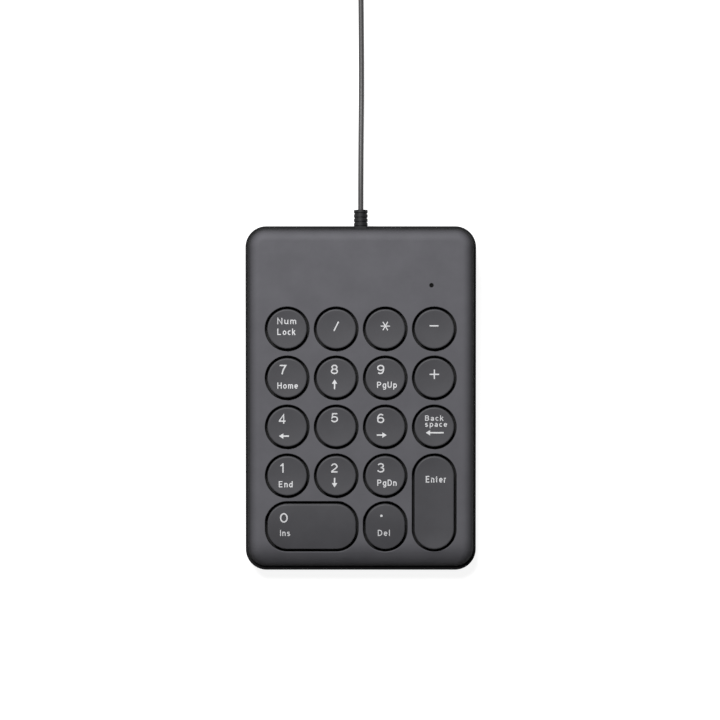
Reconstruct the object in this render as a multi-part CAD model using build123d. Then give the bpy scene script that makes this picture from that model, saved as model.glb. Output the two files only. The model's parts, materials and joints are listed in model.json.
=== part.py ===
from build123d import *
from math import asin, cos, degrees, radians, sin, tan
import os

# ---------------------------------------------------------------------------
# Wired numeric keypad. Millimetres, +X right, +Y towards the cable, +Z up.
# The feet stand on z = 0. The deck slopes: parts that follow it are drawn in a
# deck frame (deck top z = 0, origin at the deck's middle) and turned by TO_WORLD.
# ---------------------------------------------------------------------------

# Housing
body_width = 89.6
body_depth = 133.4
body_corner = 8.1
deck_height = 18.2            # deck top above the table, at the middle
wedge = 4.5                   # slope of the deck in degrees, rear higher
rim = 1.0                     # how far the bottom case stands out beyond the top case
front_rim = 1.4               # the same along the front edge
edge_radius = 4.5             # rolled edge of the deck
bend_start = -55.5            # the deck is flat behind this line and bends down in front of it
bend_radius = 14.0
deck_thick = 2.0
top_wall = 2.0
bottom_wall = 2.2
parting = -6.0                # deck-frame height of the joint between the two cases
lip_depth = 1.5
lip_gap = 0.15                # between the top case's lip and the bottom case's walls
foot_stand = 0.8              # how far the feet stand out of the underside
floor_thick = 1.8
underside = foot_stand
floor_top = underside + floor_thick
foot_recess = 0.8
deck_depth = body_depth - rim - front_rim
deck_middle = (front_rim - rim) / 2
openings_x, openings_y = 37.5, (-60.0, 45.0)

# Key grid
pitch = 19.0
columns = [-1.5 * pitch, -0.5 * pitch, 0.5 * pitch, 1.5 * pitch]
rows = [26.7, 7.7, -11.3, -30.3]
bottom_row = -50.0
enter_centre = -40.7
ring_radius = 8.14            # middle of the gap around a round key
ring_gap = 0.92
tall_key = 18.6               # ring size along Y of the bottom row
enter_length = 37.1

# Keys
cap_rim = 0.8                 # top edge above the deck
cap_dish = 0.35
cap_bottom = -2.0
cap_wall = 1.0
cap_ceiling = -0.5
cap_edge = 0.45
travel = 2.2
front_crest = 1.3             # highest line of the forward-rolled keys
front_crest_offset = 7.0      # behind the key's centre
front_roll = 75.0             # radius of that roll
plunger_x = 5.0
plunger_y = 4.0
plunger_bottom = -6.2
sleeve_clear = 0.1
hook_out = 0.5
hook_low, hook_high = -6.15, -5.55

# Stack under the keys, deck-frame heights
frame_top, frame_bottom = -4.5, -5.5
sleeve_top = -2.95
sleeve_wall = 1.1
mat_top, mat_bottom = -9.0, -9.45
dome_top = -6.25
dome_wall = 0.4
dome_base_radius = 4.3
dome_top_radius = 2.3
film = 0.1
plate_top = mat_bottom - 3 * film
plate_thick = 0.6
plate_bottom = plate_top - plate_thick
stack_half_width = 39.0
stack_front, stack_rear = -60.0, 36.5
stack_corner = 9.0            # clears the case screws and their bosses
frame_corner = 12.5
frame_half_width = 40.6
frame_front, frame_rear = -61.6, 37.6

# Stabiliser bails
wire_radius = 0.6
wire_fit = 0.05
bail_arm = 10.0
bail_bar_z = -3.9
bail_angle = degrees(asin(travel / bail_arm))
bail_tip = 2.6
bail_bend = 1.0
bail_ear_inset = 1.9          # from a bail's arm to the middle of the ear on its tip
zero_bail_half = 12.0
enter_bail_half = 11.0

# Fasteners
boss_radius = 2.2
frame_screw_spots = [(x, y) for x in (-pitch, 0, pitch) for y in (17.2, -1.8, -20.8)]
frame_screw_spots.append((0, -40.15))
frame_screw_shaft = 0.85
case_screw_x, case_screw_y = 38.4, 60.4
case_screw_shaft = 0.95
case_seat = 3.2
case_post_bottom = 5.0
case_post_radius = 2.6        # top case's posts
case_stand_radius = 3.2       # bottom case's stands under them
rib_half = 0.6
rib_rows = (-50.0, -11.3, 8.0, 35.6)

# Controller board, deck frame
board_x = (-35.0, 34.0)
board_y = (39.2, 55.0)
board_top = plate_top
board_thick = 1.2
tail_x = (-26.0, 6.0)
tail_end = 45.0
bar_screw_spots = [(-29.0, 42.6), (9.0, 42.6)]
board_screw_spots = [(-32.0, 52.4), (31.4, 52.4)]
led_spot = (27.4, 43.6)
pinhole_radius = 0.75
header_x, header_rear = 0.0, 54.4
wire_gauge = 0.35
wire_pitch = 1.5

# Cable
cord_diameter = 2.1
exit_z = 9.0
relief_end = 73.6
relief_radius = 2.7
relief_core = 2.45
relief_neck = 2.1
relief_rib = 1.2
jacket_end = 61.0
coil_radius = 12.2
coil_centre = (12.2, 186.0)
coil_section = (9.0, 7.8)
coil_middle = 4.5
coil_round = 2.2              # rounding of the bundle's section
tie_thick = 0.6
plug_start = (23.5, 212.4, 4.2)

CORD_ROUTE = [
    (0.0, relief_end, exit_z),
    (0.0, 84.5, exit_z),
    (0.1, 102.0, 5.8),
    (0.3, 122.0, 1.9),
    (0.2, 145.0, 1.2),
    (0.0, 165.0, 1.5),
    (-0.1, 177.0, 2.2),
]
TAIL_ROUTE = [
    (0.0, 192.0, 6.8),
    (0.4, 203.0, 5.4),
    (9.8, 212.4, 4.2),
    plug_start,
]

TO_WORLD = Pos(0, 0, deck_height) * Rot(wedge, 0, 0)
DECK_NORMAL = Axis((0, 0, 0), (0, -sin(radians(wedge)), cos(radians(wedge))))


# ---------------------------------------------------------------------------
# Helpers
# ---------------------------------------------------------------------------

def block(x0, x1, y0, y1, z0, z1):
    return Pos((x0 + x1) / 2, (y0 + y1) / 2, (z0 + z1) / 2) * Box(x1 - x0, y1 - y0, z1 - z0)


def rod(x, y, z0, z1, radius):
    return Pos(x, y, (z0 + z1) / 2) * Cylinder(radius, z1 - z0)


def rod_along_y(x, z, y0, y1, radius):
    return Pos(x, (y0 + y1) / 2, z) * Rot(90, 0, 0) * Cylinder(radius, y1 - y0)


def prism(width, depth, corner, z0, z1, middle=0.0):
    return Pos(0, middle, z0) * extrude(RectangleRounded(width, depth, corner), z1 - z0)


def above(z):
    """Everything over the deck-parallel plane at deck-frame height z."""
    return TO_WORLD * Pos(0, 0, z + 50) * Box(200, 300, 100)


def below(z):
    return TO_WORLD * Pos(0, 0, z - 50) * Box(200, 300, 100)


def over_deck(depth):
    """Everything over the deck face sunk by a depth: flat, then bent down towards the front."""
    arc = CenterArc((bend_start, -bend_radius), bend_radius - depth, 90, 60)
    front = (arc @ 1).X
    outline = Polyline(arc @ 1, (front, 60), (100, 60), (100, -depth), arc @ 0)
    face = make_face(arc.edges() + outline.edges())
    return TO_WORLD * extrude(Plane.YZ * face, 100, both=True)


def deck_edges(shell, inside):
    """Edges of the deck's flat and bent faces: around its openings, or else its outline."""
    flat = shell.faces().sort_by(DECK_NORMAL)[-1]
    bent = max(shell.faces().filter_by(GeomType.CYLINDER), key=lambda face: face.radius or 0)
    chosen = []
    for edge in flat.edges() + bent.edges():
        spot = (TO_WORLD.inverse() * Pos(*edge.center())).position
        on_bend_line = edge.geom_type == GeomType.LINE and abs(spot.Y - bend_start) < 0.01
        around_opening = abs(spot.X) < openings_x and openings_y[0] < spot.Y < openings_y[1]
        if around_opening == inside and not on_bend_line:
            chosen.append(edge)
    return chosen


def tube(points, radius, radii):
    path = FilletPolyline(*points, radius=radii)
    start = Plane(origin=path @ 0, z_dir=path % 0)
    return sweep(start * Circle(radius), path=path)


def corner_radii(points):
    """Largest arcs that the runs beside each corner allow."""
    radii = []
    for before, here, after in zip(points, points[1:], points[2:]):
        run_in = Vector(here) - Vector(before)
        run_out = Vector(after) - Vector(here)
        turn = radians(run_in.get_angle(run_out))
        radii.append(0.45 * min(run_in.length, run_out.length) / tan(turn / 2))
    return radii


def deck_keys():
    """Name, centre and ring size (along X and Y) of every key."""
    names = [
        ["num_lock", "divide", "multiply", "minus"],
        ["7", "8", "9", "plus"],
        ["4", "5", "6", "backspace"],
        ["1", "2", "3"],
    ]
    round_size = 2 * ring_radius
    keys = []
    for y, names_in_row in zip(rows, names):
        for x, name in zip(columns, names_in_row):
            keys.append(("key_" + name, x, y, round_size, round_size))
    keys.append(("key_0", -pitch, bottom_row, round_size + pitch, tall_key))
    keys.append(("key_decimal", columns[2], bottom_row, round_size, tall_key))
    keys.append(("key_enter", columns[3], enter_centre, round_size, enter_length))
    return keys


def rounded(size_x, size_y, grow):
    """Key-shaped outline, grown outwards from the ring line."""
    radius = ring_radius + grow
    if abs(size_x - size_y) < 0.01:
        return Circle(radius)
    width, depth = size_x + 2 * grow, size_y + 2 * grow
    return RectangleRounded(width, depth, min(radius, min(width, depth) / 2 - 0.001))


# ---------------------------------------------------------------------------
# Housing
# ---------------------------------------------------------------------------

def case_corners():
    return [(sx * case_screw_x, sy * case_screw_y) for sx in (-1, 1) for sy in (-1, 1)]


def top_case():
    width, corner = body_width - 2 * rim, body_corner - rim
    shell = prism(width, deck_depth, corner, 0, 40, deck_middle) - over_deck(0) - below(parting)
    shell = fillet(deck_edges(shell, False), edge_radius)
    inner = prism(width - 2 * top_wall, deck_depth - 2 * top_wall, corner - top_wall, -5, 40, deck_middle)
    shell -= inner - over_deck(deck_thick)
    step_in = bottom_wall - rim + lip_gap
    lip = prism(width - 2 * step_in, deck_depth - 2 * step_in, corner - step_in, -5, 40, deck_middle)
    lip = lip - inner - above(parting + 0.5) - below(parting - lip_depth)
    shell += lip
    for x, y in case_corners():
        shell += rod(x, y, case_post_bottom, 30, case_post_radius) & (inner - over_deck(deck_thick - 0.5))
    for x, y in frame_screw_spots:
        shell += TO_WORLD * rod(x, y, frame_top, -deck_thick + 0.5, boss_radius)
    pipe_x, pipe_y = led_spot
    shell += TO_WORLD * rod(pipe_x, pipe_y, -7.0, -deck_thick + 0.5, 2.3)
    for name, x, y, size_x, size_y in deck_keys():
        hole = extrude(rounded(size_x, size_y, ring_gap / 2), 12)
        shell -= TO_WORLD * Pos(x, y, -3.9) * hole
    shell -= TO_WORLD * rod(pipe_x, pipe_y, -5, 5, pinhole_radius)
    shell -= TO_WORLD * rod(pipe_x, pipe_y, -8, -deck_thick + 0.8, 1.1)
    for x, y in frame_screw_spots:
        shell -= TO_WORLD * rod(x, y, frame_top - 1, -deck_thick - 0.1, frame_screw_shaft + 0.02)
    for x, y in case_corners():
        shell -= rod(x, y, 0, 10.4, case_screw_shaft + 0.02)
    return shell


def soften_holes(shell):
    """Round the mouths of the key holes and of the pinhole."""
    return fillet(deck_edges(shell, True), 0.3)


def bottom_case():
    shell = prism(body_width, body_depth, body_corner, underside, 40)
    shell = fillet(shell.faces().sort_by(Axis.Z)[0].outer_wire().edges(), 1.0)
    shell -= above(parting)
    inner_width, inner_depth = body_width - 2 * bottom_wall, deck_depth - 2 * (bottom_wall - rim)
    inner_corner = body_corner - bottom_wall
    shell -= prism(inner_width, inner_depth, inner_corner, floor_top, 40, deck_middle)
    room = prism(inner_width + 0.4, inner_depth + 0.4, inner_corner, floor_top - 0.4, 40, deck_middle)
    for x in columns:
        rib = TO_WORLD * block(x - rib_half, x + rib_half, stack_front + 4, stack_rear, -40, plate_bottom)
        shell += rib & room
    for y in rib_rows:
        rib = TO_WORLD * block(-33, 33, y - rib_half, y + rib_half, -40, plate_bottom)
        shell += rib & room
    board_bottom = board_top - board_thick
    for x, y in bar_screw_spots + board_screw_spots:
        shell += (TO_WORLD * rod(x, y, -40, board_bottom, 2.4)) & room
    for x, y in case_corners():
        shell += rod(x, y, floor_top - 0.4, case_post_bottom, case_stand_radius) & room
    for x, y in bar_screw_spots + board_screw_spots:
        shell -= TO_WORLD * rod(x, y, board_bottom - 4.5, board_bottom + 1, frame_screw_shaft + 0.02)
    for x, y in case_corners():
        shell -= rod(x, y, underside - 1, case_seat, 2.3)
        shell -= rod(x, y, underside - 1, case_post_bottom + 1, 1.2)
    for x, y in foot_spots():
        shell -= foot_pad(x, y, underside - 1, underside + foot_recess, 0.1)
    shell -= Pos(0, 0, underside) * Box(52, 34, 0.5)
    slot = relief_neck + 0.05
    shell -= rod_along_y(0, exit_z, 60, 70, slot)
    shell -= block(-slot, slot, 60, 70, exit_z, 40)
    return shell


def foot_spots():
    return [(sx * 27.5, sy * 57.0) for sx in (-1, 1) for sy in (-1, 1)]


def foot_pad(x, y, z0, z1, grow):
    pad = RectangleRounded(14 + 2 * grow, 7 + 2 * grow, 3.4 + grow)
    return Pos(x, y, z0) * extrude(pad, z1 - z0)


def rubber_feet():
    feet = []
    for x, y in foot_spots():
        pad = foot_pad(x, y, 0, underside + foot_recess, 0)
        feet.append(fillet(pad.faces().sort_by(Axis.Z)[0].edges(), 0.5))
    return feet


# ---------------------------------------------------------------------------
# Keys and the stabiliser wires
# ---------------------------------------------------------------------------

def roll_cylinder(crest_z, radius):
    """Long cylinder along X whose top line lies at crest_z."""
    spot = Pos(0, front_crest_offset, crest_z - radius)
    return spot * Rot(0, 90, 0) * Cylinder(radius, 80)


def keycap(size_x, size_y, forward):
    """Cap with its plunger, drawn around its own centre in the deck frame."""
    outline = rounded(size_x, size_y, -ring_gap / 2)
    hollow_outline = rounded(size_x, size_y, -ring_gap / 2 - cap_wall)
    height = front_crest + 0.5 if forward else cap_rim
    cap = Pos(0, 0, cap_bottom) * extrude(outline, height - cap_bottom, taper=1.2)
    hollow = Pos(0, 0, cap_bottom) * extrude(hollow_outline, cap_ceiling - cap_bottom)
    if forward:
        cap &= roll_cylinder(front_crest, front_roll)
        hollow &= roll_cylinder(front_crest - 1.0, front_roll - 1.0)
    top_edges = cap.edges().filter_by(lambda edge: edge.center().Z > cap_bottom + 0.9)
    cap = fillet(top_edges.filter_by(lambda edge: edge.geom_type != GeomType.LINE or
                                     abs((edge % 0.5).Z) < 0.5), cap_edge)
    if not forward:
        cap -= dish(size_x, size_y)
    cap -= hollow
    cap += block(-plunger_x / 2, plunger_x / 2, -plunger_y / 2, plunger_y / 2,
                 plunger_bottom, cap_ceiling + 0.2)
    cap += hooks()
    return cap


def dish(size_x, size_y):
    """Shallow hollow in a key's top: a sphere, or a trough with round ends on a tall key."""
    reach = min(size_x, size_y) / 2 - ring_gap / 2 - cap_edge - 0.2
    radius = (reach ** 2 + cap_dish ** 2) / (2 * cap_dish)
    spot = Pos(0, 0, cap_rim - cap_dish + radius)
    if size_x == size_y:
        return spot * Sphere(radius)
    half = max(size_x, size_y) / 2 - reach - ring_gap / 2 - cap_edge - 0.2
    trough = spot * Rot(90, 0, 0) * Cylinder(radius, 2 * half)
    ends = [Pos(0, side * half, 0) * spot * Sphere(radius) for side in (-1, 1)]
    return trough + ends[0] + ends[1]


def hooks():
    """Snap barbs on both sides of a plunger, under the frame."""
    profile = Polyline((0, hook_low), (hook_out, hook_high - 0.15), (hook_out, hook_high),
                       (-0.3, hook_high), (-0.3, hook_low), close=True)
    barb = extrude(Plane.XZ * make_face(profile), 1.2, both=True)
    right = Pos(plunger_x / 2, 0, 0) * barb
    return right + mirror(right, Plane.YZ)


def bail_ears(half, along_x):
    """Two slotted ears that hold a bail's tips, hanging from a cap's ceiling."""
    reach = bail_arm * cos(radians(bail_angle)) - bail_arm / 2
    tip_z = bail_bar_z + travel
    ears = None
    for side in (-1, 1):
        x = side * (half - bail_ear_inset)
        ear = block(x - 0.6, x + 0.6, reach - 1.7, reach + 1.8, tip_z - 1.3, cap_ceiling + 0.3)
        slot = block(x - 1, x + 1, reach - wire_radius - 0.12, reach + wire_radius + 0.4,
                     tip_z - wire_radius - 0.06, tip_z + wire_radius + 0.06)
        ear -= slot
        ears = ear if ears is None else ears + ear
    return ears if along_x else Rot(0, 0, 90) * ears


def bail(half, along_x):
    """Bent wire: a long bar, two arms and two tips turned inwards, at key-up."""
    tip_y = bail_arm * cos(radians(bail_angle)) - bail_arm / 2
    tip_z = bail_bar_z + travel
    bar_y = -bail_arm / 2
    points = [
        (-half + bail_tip, tip_y, tip_z), (-half, tip_y, tip_z),
        (-half, bar_y, bail_bar_z), (half, bar_y, bail_bar_z),
        (half, tip_y, tip_z), (half - bail_tip, tip_y, tip_z),
    ]
    wire = tube(points, wire_radius, [bail_bend] * 4)
    return wire if along_x else Rot(0, 0, 90) * wire


def bail_clips(half, along_x):
    """Snap clips on the frame for a bail's long bar, open upwards."""
    bar_y = -bail_arm / 2
    clips = None
    for side in (-1, 1):
        x = side * (half - 4.5)
        clip = block(x - 1.2, x + 1.2, bar_y - 1.35, bar_y + 1.35, frame_top - 0.2, -3.25)
        clip -= Pos(x, bar_y, bail_bar_z) * Rot(0, 90, 0) * Cylinder(wire_radius + wire_fit, 4)
        clip -= block(x - 2, x + 2, bar_y - 0.5, bar_y + 0.5, bail_bar_z, 0)
        clips = clip if clips is None else clips + clip
    return clips if along_x else Rot(0, 0, 90) * clips


# ---------------------------------------------------------------------------
# Frame, mat, membranes and plate
# ---------------------------------------------------------------------------

def stack_sheet(z0, z1, grow=0.0):
    sheet = block(-stack_half_width - grow, stack_half_width + grow,
                  stack_front - grow, stack_rear + grow, z0, z1)
    return fillet(sheet.edges().filter_by(Axis.Z), stack_corner + grow)


def screw_holes(z0, z1, radius):
    holes = None
    for x, y in frame_screw_spots:
        hole = rod(x, y, z0, z1, radius)
        holes = hole if holes is None else holes + hole
    return holes


def key_frame():
    frame = block(-frame_half_width, frame_half_width, frame_front, frame_rear, frame_bottom, frame_top)
    frame = fillet(frame.edges().filter_by(Axis.Z), frame_corner)
    frame += stack_sheet(mat_top, frame_bottom + 0.1) - stack_sheet(mat_top, frame_bottom + 0.1, -1.2)
    for x, y in frame_screw_spots:
        frame += rod(x, y, mat_top, frame_bottom + 0.3, 2.4)
    inner_x, inner_y = plunger_x / 2 + sleeve_clear, plunger_y / 2 + sleeve_clear
    outer_x, outer_y = inner_x + sleeve_wall, inner_y + sleeve_wall
    for name, x, y, size_x, size_y in deck_keys():
        frame += Pos(x, y, 0) * block(-outer_x, outer_x, -outer_y, outer_y, frame_top - 0.3, sleeve_top)
    frame += Pos(-pitch, bottom_row, 0) * bail_clips(zero_bail_half, True)
    frame += Pos(columns[3], enter_centre, 0) * bail_clips(enter_bail_half, False)
    for name, x, y, size_x, size_y in deck_keys():
        frame -= Pos(x, y, 0) * block(-inner_x, inner_x, -inner_y, inner_y, frame_bottom - 1, 0)
    frame -= Pos(-pitch, bottom_row, 0) * ear_windows(zero_bail_half, True)
    frame -= Pos(columns[3], enter_centre, 0) * ear_windows(enter_bail_half, False)
    return frame - screw_holes(mat_top - 1, frame_top + 1, frame_screw_shaft + 0.2)


def ear_windows(half, along_x):
    """Openings in the frame under a cap's ears, which pass through it at full travel."""
    windows = None
    for side in (-1, 1):
        x = side * (half - bail_ear_inset)
        window = block(x - 1.1, x + 1.1, bail_arm / 2 - 2.6, bail_arm / 2 + 2.2, -7, -4)
        windows = window if windows is None else windows + window
    return windows if along_x else Rot(0, 0, 90) * windows


def dome_mat():
    mat = stack_sheet(mat_bottom, mat_top) - screw_holes(-12, 0, 1.4)
    height = dome_top - mat_top
    outer = Polyline((0, 0), (dome_base_radius, 0), (dome_base_radius - 0.5, 0.5),
                     (dome_top_radius + 0.1, height - 0.7), (dome_top_radius, height), (0, height),
                     close=True)
    low = mat_bottom - mat_top
    inner_radius = dome_base_radius - dome_wall
    inner = Polyline((0, low - 1), (inner_radius, low - 1), (inner_radius, 0),
                     (inner_radius - 0.5, 0.4), (dome_top_radius - 0.4, height - 0.9),
                     (1.1, height - 1.0), (1.1, height - 1.5), (0, height - 1.5), close=True)
    dome = Pos(0, 0, mat_top) * revolve(Plane.XZ * make_face(outer), Axis.Z)
    hollow = Pos(0, 0, mat_top) * revolve(Plane.XZ * make_face(inner), Axis.Z)
    for name, x, y, size_x, size_y in deck_keys():
        mat += Pos(x, y, 0) * dome
    for name, x, y, size_x, size_y in deck_keys():
        mat -= Pos(x, y, 0) * hollow
    return mat


def membrane(layer):
    """Layer 0 is the top film, 1 the spacer with contact windows, 2 the bottom film with the tail."""
    z1 = mat_bottom - layer * film
    sheet = stack_sheet(z1 - film, z1) - screw_holes(-12, 0, 1.4)
    if layer == 1:
        for name, x, y, size_x, size_y in deck_keys():
            sheet -= rod(x, y, z1 - 1, z1 + 1, 2.5)
    if layer == 2:
        sheet += block(tail_x[0], tail_x[1], stack_rear - 1, tail_end, z1 - film, z1)
    return sheet


def support_plate():
    return stack_sheet(plate_bottom, plate_top, 0.5) - screw_holes(-12, 0, frame_screw_shaft + 0.1)


def screw(x, y, seat, tip, shaft, head_radius, head):
    """Pan-head screw driven upwards (head below the seat) or downwards (head above it)."""
    up = tip > seat
    z0, z1 = (seat - head, seat) if up else (seat, seat + head)
    body = rod(x, y, z0, z1, head_radius)
    outer_face = body.faces().sort_by(Axis.Z)[0 if up else -1]
    body = fillet(outer_face.edges(), head * 0.45)
    body += rod(x, y, min(seat, tip), max(seat, tip), shaft)
    face_z = z0 if up else z1
    for turn in (0, 90):
        slot = Box(head_radius * 1.1, 0.45, 1.0)
        body -= Pos(x, y, face_z) * Rot(0, 0, turn) * slot
    return body


# ---------------------------------------------------------------------------
# Electronics
# ---------------------------------------------------------------------------

def controller_board():
    board = block(board_x[0], board_x[1], board_y[0], board_y[1], board_top - board_thick, board_top)
    board = fillet(board.edges().filter_by(Axis.Z), 1.0)
    for x, y in bar_screw_spots + board_screw_spots:
        board -= rod(x, y, board_top - 3, board_top + 3, 1.05)
    return board


def controller_chip():
    x, y = 19.0, 49.4
    z0 = board_top + 0.1
    chip = block(x - 5, x + 5, y - 3.2, y + 3.2, z0, z0 + 1.6)
    chip = chamfer(chip.faces().sort_by(Axis.Z)[-1].edges(), 0.3)
    chip -= rod(x - 4.1, y - 2.3, z0 + 1.4, z0 + 2, 0.4)
    for i in range(8):
        lead_x = x - 4.445 + i * 1.27
        for side in (-1, 1):
            y0, y1 = sorted((y + side * 3.1, y + side * 3.7))
            chip += block(lead_x - 0.2, lead_x + 0.2, y0, y1, z0 + 0.3, z0 + 0.8)
            y0, y1 = sorted((y + side * 3.55, y + side * 4.3))
            chip += block(lead_x - 0.2, lead_x + 0.2, y0, y1, board_top, z0 + 0.35)
            y0, y1 = sorted((y + side * 3.55, y + side * 3.7))
            chip += block(lead_x - 0.2, lead_x + 0.2, y0, y1, board_top, z0 + 0.8)
    return chip


def board_components():
    """Chip resistors and capacitors, a crystal can and a small electrolytic."""
    parts = []
    for i in range(6):
        x = -26.0 + i * 2.6
        parts.append(block(x - 0.5, x + 0.5, 48.0, 50.0, board_top, board_top + 0.55))
    for i in range(3):
        y = 47.2 + i * 2.4
        parts.append(block(11.0, 13.0, y, y + 1.2, board_top, board_top + 0.6))
    can = block(-24.0, -13.5, 51.6, 54.4, board_top, board_top + 2.6)
    parts.append(fillet(can.edges().filter_by(Axis.Z), 1.35))
    electrolytic = rod(-8.6, 50.4, board_top, board_top + 4.6, 2.0)
    parts.append(fillet(electrolytic.faces().sort_by(Axis.Z)[-1].edges(), 0.4))
    return parts


def indicator_led():
    x, y = led_spot
    led = block(x - 1.0, x + 1.0, y - 0.65, y + 0.65, board_top, board_top + 0.4)
    return led + block(x - 0.7, x + 0.7, y - 0.6, y + 0.6, board_top + 0.4, board_top + 0.8)


def light_pipe():
    x, y = led_spot
    pipe = rod(x, y, board_top + 1.0, -deck_thick + 0.7, 1.0)
    pipe += rod(x, y, -deck_thick + 0.7, -0.35, pinhole_radius - 0.03)
    collar = rod(x, y, -7.7, -7.0, 1.8)
    return pipe + collar


def pressure_bar():
    z0 = board_top + film + 1.0
    bar = block(-32, 12, 40.1, 45.1, z0, z0 + 1.5)
    bar = fillet(bar.edges().filter_by(Axis.Z), 1.5)
    bar += block(-25, 5, 42.0, 43.2, z0 + 1.3, z0 + 2.7)
    for x, y in bar_screw_spots:
        bar -= rod(x, y, z0 - 3, z0 + 3, 1.05)
        bar += rod(x, y, board_top, z0 + 0.3, 2.2) - rod(x, y, board_top - 1, z0 + 1, 1.05)
    return bar


def pressure_pad():
    z0 = board_top + film
    return block(-25.6, 5.6, 41.2, 44.2, z0, z0 + 1.0)


def board_header():
    z0 = board_top
    header = block(header_x - 4.6, header_x + 4.6, header_rear - 5.4, header_rear, z0, z0 + 4.4)
    header -= block(header_x - 3.8, header_x + 3.8, header_rear - 4.4, header_rear + 1, z0 + 0.7, z0 + 3.7)
    return header


def wire_plug():
    z0 = board_top + 0.8
    return block(header_x - 3.7, header_x + 3.7, header_rear - 4.3, header_rear + 1.4, z0, z0 + 2.8)


def usb_wires():
    cable_end = TO_WORLD.inverse() * Pos(0, jacket_end, exit_z)
    end_y, end_z = cable_end.position.Y - 0.03, cable_end.position.Z
    plug_z = board_top + 2.2
    start_y = header_rear + 1.4
    wires = []
    for i, (dx, dz) in enumerate([(-0.42, -0.42), (-0.42, 0.42), (0.42, 0.42), (0.42, -0.42)]):
        x = header_x + (i - 1.5) * wire_pitch
        points = [(x, start_y, plug_z), (x, start_y + 2.2, plug_z + 0.01),
                  (dx, end_y - 2.2, end_z + dz + 0.17), (dx, end_y, end_z + dz)]
        wires.append(tube(points, wire_gauge, [0.9, 0.9]))
    return wires


# ---------------------------------------------------------------------------
# Cable, coil and plug
# ---------------------------------------------------------------------------

def strain_relief():
    """Moulded grommet: inner flange, neck that fills the rear wall's slot, ribbed sleeve outside."""
    wall = body_depth / 2
    relief = rod_along_y(0, exit_z, wall - bottom_wall - 1.6, wall - bottom_wall - 0.02, 3.0)
    relief += rod_along_y(0, exit_z, wall - bottom_wall - 0.1, wall + 0.1, relief_neck)
    filler = block(-relief_neck, relief_neck, wall - bottom_wall - 0.1, wall - 0.05, exit_z, 30)
    relief += filler - above(parting - 0.05)
    relief += rod_along_y(0, exit_z, wall + 0.02, relief_end, relief_core)
    rib_pitch = (relief_end - wall - 0.1) / 4
    for i in range(4):
        y0 = wall + 0.1 + i * rib_pitch + (rib_pitch - relief_rib)
        rib = rod_along_y(0, exit_z, y0, y0 + relief_rib, relief_radius)
        relief += fillet(rib.edges().filter_by(GeomType.CIRCLE), 0.2)
    return relief - rod_along_y(0, exit_z, 50, 80, cord_diameter / 2)


def inner_cable():
    return rod_along_y(0, exit_z, jacket_end, relief_end, cord_diameter / 2)


def ring(width, height, corner, arc=360.0, start=0.0):
    section = Plane.XZ * Pos(coil_radius, 0) * RectangleRounded(width, height, corner)
    turned = revolve(Rot(0, 0, start) * section, Axis.Z, arc)
    return Pos(coil_centre[0], coil_centre[1], coil_middle) * turned


def cord_coil():
    return ring(coil_section[0], coil_section[1], coil_round)


def cord_tie():
    width, height = coil_section
    outer = ring(width + 2 * tie_thick, height + 2 * tie_thick, coil_round + tie_thick, 24, -12)
    return outer - ring(width + 0.02, height + 0.02, coil_round)


def plug_frame():
    x, y, z = plug_start
    return Pos(x, y, z)


def plug_body():
    """Overmould: a ribbed tapering tail and a flat grip, with a pocket for the shell."""
    tail = Rot(0, 90, 0) * Pos(0, 0, 4.0) * Cone(1.9, 3.1, 8.0)
    for i in range(3):
        tail += Rot(0, 90, 0) * Pos(0, 0, 1.6 + 2.0 * i) * Cylinder(2.7 + 0.3 * i, 0.9)
    grip = Pos(18, 0, 0) * Box(20.5, 15.6, 8.2)
    grip = fillet(grip.edges().filter_by(Axis.X), 1.8)
    grip = fillet(grip.faces().sort_by(Axis.X)[0].edges(), 1.2)
    grip = fillet(grip.faces().sort_by(Axis.X)[-1].edges(), 0.5)
    body = tail + grip - Pos(24.3, 0, 0) * Box(8.0, 12.0, 4.5)
    return plug_frame() * body


def plug_shell():
    outer = fillet((Pos(30.2, 0, 0) * Box(19.6, 11.98, 4.48)).edges().filter_by(Axis.X), 0.5)
    inner = fillet((Pos(30.5, 0, 0) * Box(21.0, 11.4, 3.9)).edges().filter_by(Axis.X), 0.3)
    shell = outer - inner
    for y in (-2.9, 2.9):
        shell -= Pos(35.0, y, 0) * Box(2.2, 2.4, 10)
    return plug_frame() * shell


def plug_insulator():
    block_part = fillet((Pos(24.0, 0, 0) * Box(7.0, 11.3, 3.8)).edges().filter_by(Axis.X), 0.35)
    tongue = Pos(33.2, 0, 0.95) * Box(11.4, 11.3, 1.84)
    return plug_frame() * (block_part + tongue - contact_slots(0.0))


def contact_slots(shrink):
    slots = None
    for y, length in ((-3.5, 7.6), (-1.0, 7.0), (1.0, 7.0), (3.5, 7.6)):
        slot = Pos(29.4 + length / 2, y, 0.03 + 0.12) * Box(length - shrink, 1.1 - shrink, 0.3 - shrink)
        slots = slot if slots is None else slots + slot
    return slots


def plug_contacts():
    return (plug_frame() * contact_slots(0.02)).solids()


# ---------------------------------------------------------------------------
# Assembly
# ---------------------------------------------------------------------------

def keys():
    built = {}
    for name, x, y, size_x, size_y in deck_keys():
        cap = keycap(size_x, size_y, name in ("key_0", "key_decimal"))
        if name == "key_0":
            cap += bail_ears(zero_bail_half, True)
        if name == "key_enter":
            cap += bail_ears(enter_bail_half, False)
        built[name] = TO_WORLD * Pos(x, y, 0) * cap
    return built


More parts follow.
